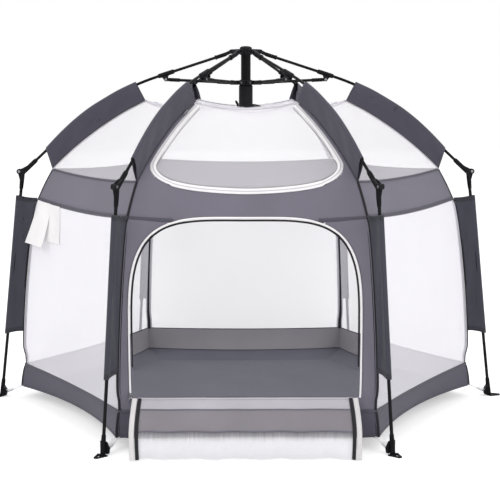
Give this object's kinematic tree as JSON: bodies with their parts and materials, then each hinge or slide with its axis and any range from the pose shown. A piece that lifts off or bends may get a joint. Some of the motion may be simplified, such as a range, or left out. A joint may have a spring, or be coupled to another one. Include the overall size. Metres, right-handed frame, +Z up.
{
  "type": "travel play yard",
  "caption": "Pop-up hexagonal play yard: folding poles on a central hub hold a mesh tent with a roof, a floor and a drop-down door flap.",
  "frame": {"origin": "centre of the hexagon on the ground", "axes": "+Z up, -Y is the side with the door, +X and -X are the two side legs"},
  "size_m": [1.504, 1.3319, 1.022],
  "materials": {
    "hub_plastic": "moulded black nylon, satin",
    "joint_plastic": "moulded black nylon, fine grain",
    "gloss_black_tube": "gloss black powder coat",
    "black_rod": "satin black coated rod",
    "rivet_steel": "zinc-plated rivet",
    "white_mesh": "fine knitted mesh",
    "light_grey_cloth": "plain-weave polyester",
    "grey_cloth": "plain-weave polyester",
    "dark_cloth": "plain-weave polyester",
    "white_webbing": "woven webbing"
  },
  "bodies": {
    "hub": {"top_hub": "hub_plastic", "hub_cap": "hub_plastic", "center_tube": "gloss_black_tube", "hub_pins": "rivet_steel", "mesh_walls": "white_mesh", "front_panel": "light_grey_cloth", "shoulder_band": "light_grey_cloth", "roof_mesh": "white_mesh", "base_band": "grey_cloth", "floor_mat": "grey_cloth", "rib_flaps": "dark_cloth", "leg_gussets": "dark_cloth", "foot_straps": "white_webbing"},
    "door": {"door_flap": "grey_cloth"},
    "runner": {"runner": "hub_plastic", "runner_rivets": "rivet_steel", "roof_hook": "joint_plastic"},
    "lever": {"release_lever": "joint_plastic"},
    "arm_1": {"arm_rod_1": "black_rod", "arm_fittings_1": "joint_plastic", "arm_pins_1": "rivet_steel"},
    "strut_1": {"strut_1": "black_rod"},
    "leg_1": {"knee_socket_1": "joint_plastic", "leg_rod_1": "black_rod", "foot_1": "joint_plastic"},
    "arm_2": {"arm_rod_2": "black_rod", "arm_fittings_2": "joint_plastic", "arm_pins_2": "rivet_steel"},
    "strut_2": {"strut_2": "black_rod"},
    "leg_2": {"knee_socket_2": "joint_plastic", "leg_rod_2": "black_rod", "foot_2": "joint_plastic"},
    "arm_3": {"arm_rod_3": "black_rod", "arm_fittings_3": "joint_plastic", "arm_pins_3": "rivet_steel"},
    "strut_3": {"strut_3": "black_rod"},
    "leg_3": {"knee_socket_3": "joint_plastic", "leg_rod_3": "black_rod", "foot_3": "joint_plastic"},
    "arm_4": {"arm_rod_4": "black_rod", "arm_fittings_4": "joint_plastic", "arm_pins_4": "rivet_steel"},
    "strut_4": {"strut_4": "black_rod"},
    "leg_4": {"knee_socket_4": "joint_plastic", "leg_rod_4": "black_rod", "foot_4": "joint_plastic"},
    "arm_5": {"arm_rod_5": "black_rod", "arm_fittings_5": "joint_plastic", "arm_pins_5": "rivet_steel"},
    "strut_5": {"strut_5": "black_rod"},
    "leg_5": {"knee_socket_5": "joint_plastic", "leg_rod_5": "black_rod", "foot_5": "joint_plastic"},
    "arm_6": {"arm_rod_6": "black_rod", "arm_fittings_6": "joint_plastic", "arm_pins_6": "rivet_steel"},
    "strut_6": {"strut_6": "black_rod"},
    "leg_6": {"knee_socket_6": "joint_plastic", "leg_rod_6": "black_rod", "foot_6": "joint_plastic"}
  },
  "joints": [
    {"name": "fold", "type": "hinge", "parent": "hub", "child": "arm_1", "pos_m": [0.042, 0, 1.006], "axis": [0, 1, 0], "range_deg": [0, 55], "deforming": ["mesh_walls", "front_panel", "shoulder_band", "roof_mesh", "base_band", "floor_mat", "rib_flaps", "leg_gussets", "foot_straps"]},
    {"name": "strut_fold_1", "type": "hinge", "parent": "arm_1", "child": "strut_1", "pos_m": [0.22907, 0, 0.92688], "axis": [0, 1, 0], "range_deg": [-129.18, 0]},
    {"name": "leg_fold_1", "type": "hinge", "parent": "arm_1", "child": "leg_1", "pos_m": [0.65438, 0, 0.66373], "axis": [0, 1, 0], "range_deg": [-216.71, 0]},
    {"name": "fold_2", "type": "hinge", "parent": "hub", "child": "arm_2", "pos_m": [0.021, 0.03637, 1.006], "axis": [-0.866, 0.5, 0], "range_deg": [0, 55]},
    {"name": "strut_fold_2", "type": "hinge", "parent": "arm_2", "child": "strut_2", "pos_m": [0.11454, 0.19838, 0.92688], "axis": [-0.866, 0.5, 0], "range_deg": [-129.18, 0]},
    {"name": "leg_fold_2", "type": "hinge", "parent": "arm_2", "child": "leg_2", "pos_m": [0.32719, 0.56671, 0.66373], "axis": [-0.866, 0.5, 0], "range_deg": [-216.71, 0]},
    {"name": "fold_3", "type": "hinge", "parent": "hub", "child": "arm_3", "pos_m": [-0.021, 0.03637, 1.006], "axis": [-0.866, -0.5, 0], "range_deg": [0, 55]},
    {"name": "strut_fold_3", "type": "hinge", "parent": "arm_3", "child": "strut_3", "pos_m": [-0.11454, 0.19838, 0.92688], "axis": [-0.866, -0.5, 0], "range_deg": [-129.18, 0]},
    {"name": "leg_fold_3", "type": "hinge", "parent": "arm_3", "child": "leg_3", "pos_m": [-0.32719, 0.56671, 0.66373], "axis": [-0.866, -0.5, 0], "range_deg": [-216.71, 0]},
    {"name": "fold_4", "type": "hinge", "parent": "hub", "child": "arm_4", "pos_m": [-0.042, 0, 1.006], "axis": [0, -1, 0], "range_deg": [0, 55]},
    {"name": "strut_fold_4", "type": "hinge", "parent": "arm_4", "child": "strut_4", "pos_m": [-0.22907, 0, 0.92688], "axis": [0, -1, 0], "range_deg": [-129.18, 0]},
    {"name": "leg_fold_4", "type": "hinge", "parent": "arm_4", "child": "leg_4", "pos_m": [-0.65438, 0, 0.66373], "axis": [0, -1, 0], "range_deg": [-216.71, 0]},
    {"name": "fold_5", "type": "hinge", "parent": "hub", "child": "arm_5", "pos_m": [-0.021, -0.03637, 1.006], "axis": [0.866, -0.5, 0], "range_deg": [0, 55]},
    {"name": "strut_fold_5", "type": "hinge", "parent": "arm_5", "child": "strut_5", "pos_m": [-0.11454, -0.19838, 0.92688], "axis": [0.866, -0.5, 0], "range_deg": [-129.18, 0]},
    {"name": "leg_fold_5", "type": "hinge", "parent": "arm_5", "child": "leg_5", "pos_m": [-0.32719, -0.56671, 0.66373], "axis": [0.866, -0.5, 0], "range_deg": [-216.71, 0]},
    {"name": "fold_6", "type": "hinge", "parent": "hub", "child": "arm_6", "pos_m": [0.021, -0.03637, 1.006], "axis": [0.866, 0.5, 0], "range_deg": [0, 55]},
    {"name": "strut_fold_6", "type": "hinge", "parent": "arm_6", "child": "strut_6", "pos_m": [0.11454, -0.19838, 0.92688], "axis": [0.866, 0.5, 0], "range_deg": [-129.18, 0]},
    {"name": "leg_fold_6", "type": "hinge", "parent": "arm_6", "child": "leg_6", "pos_m": [0.32719, -0.56671, 0.66373], "axis": [0.866, 0.5, 0], "range_deg": [-216.71, 0]},
    {"name": "runner_slide", "type": "slide", "parent": "hub", "child": "runner", "axis": [0, 0, -1], "range_m": [0, 0.29303]},
    {"name": "door_fold", "type": "hinge", "parent": "hub", "child": "door", "pos_m": [0, -0.5634, 0.131], "axis": [-1, 0, 0], "range_deg": [0, 143]},
    {"name": "lever_press", "type": "hinge", "parent": "runner", "child": "lever", "pos_m": [0.026, 0, 0.853], "axis": [0, -1, 0], "range_deg": [0, 16], "stiffness_Nm_per_rad": 0.02}
  ],
  "couplings": [
    {"joint": "strut_fold_1", "follows": "fold", "ratio": -2.3485},
    {"joint": "leg_fold_1", "follows": "fold", "ratio": -3.94},
    {"joint": "fold_2", "follows": "fold", "ratio": 1},
    {"joint": "strut_fold_2", "follows": "fold", "ratio": -2.3485},
    {"joint": "leg_fold_2", "follows": "fold", "ratio": -3.94},
    {"joint": "fold_3", "follows": "fold", "ratio": 1},
    {"joint": "strut_fold_3", "follows": "fold", "ratio": -2.3485},
    {"joint": "leg_fold_3", "follows": "fold", "ratio": -3.94},
    {"joint": "fold_4", "follows": "fold", "ratio": 1},
    {"joint": "strut_fold_4", "follows": "fold", "ratio": -2.3485},
    {"joint": "leg_fold_4", "follows": "fold", "ratio": -3.94},
    {"joint": "fold_5", "follows": "fold", "ratio": 1},
    {"joint": "strut_fold_5", "follows": "fold", "ratio": -2.3485},
    {"joint": "leg_fold_5", "follows": "fold", "ratio": -3.94},
    {"joint": "fold_6", "follows": "fold", "ratio": 1},
    {"joint": "strut_fold_6", "follows": "fold", "ratio": -2.3485},
    {"joint": "leg_fold_6", "follows": "fold", "ratio": -3.94},
    {"joint": "runner_slide", "follows": "fold", "m_per_rad": 0.30525}
  ]
}
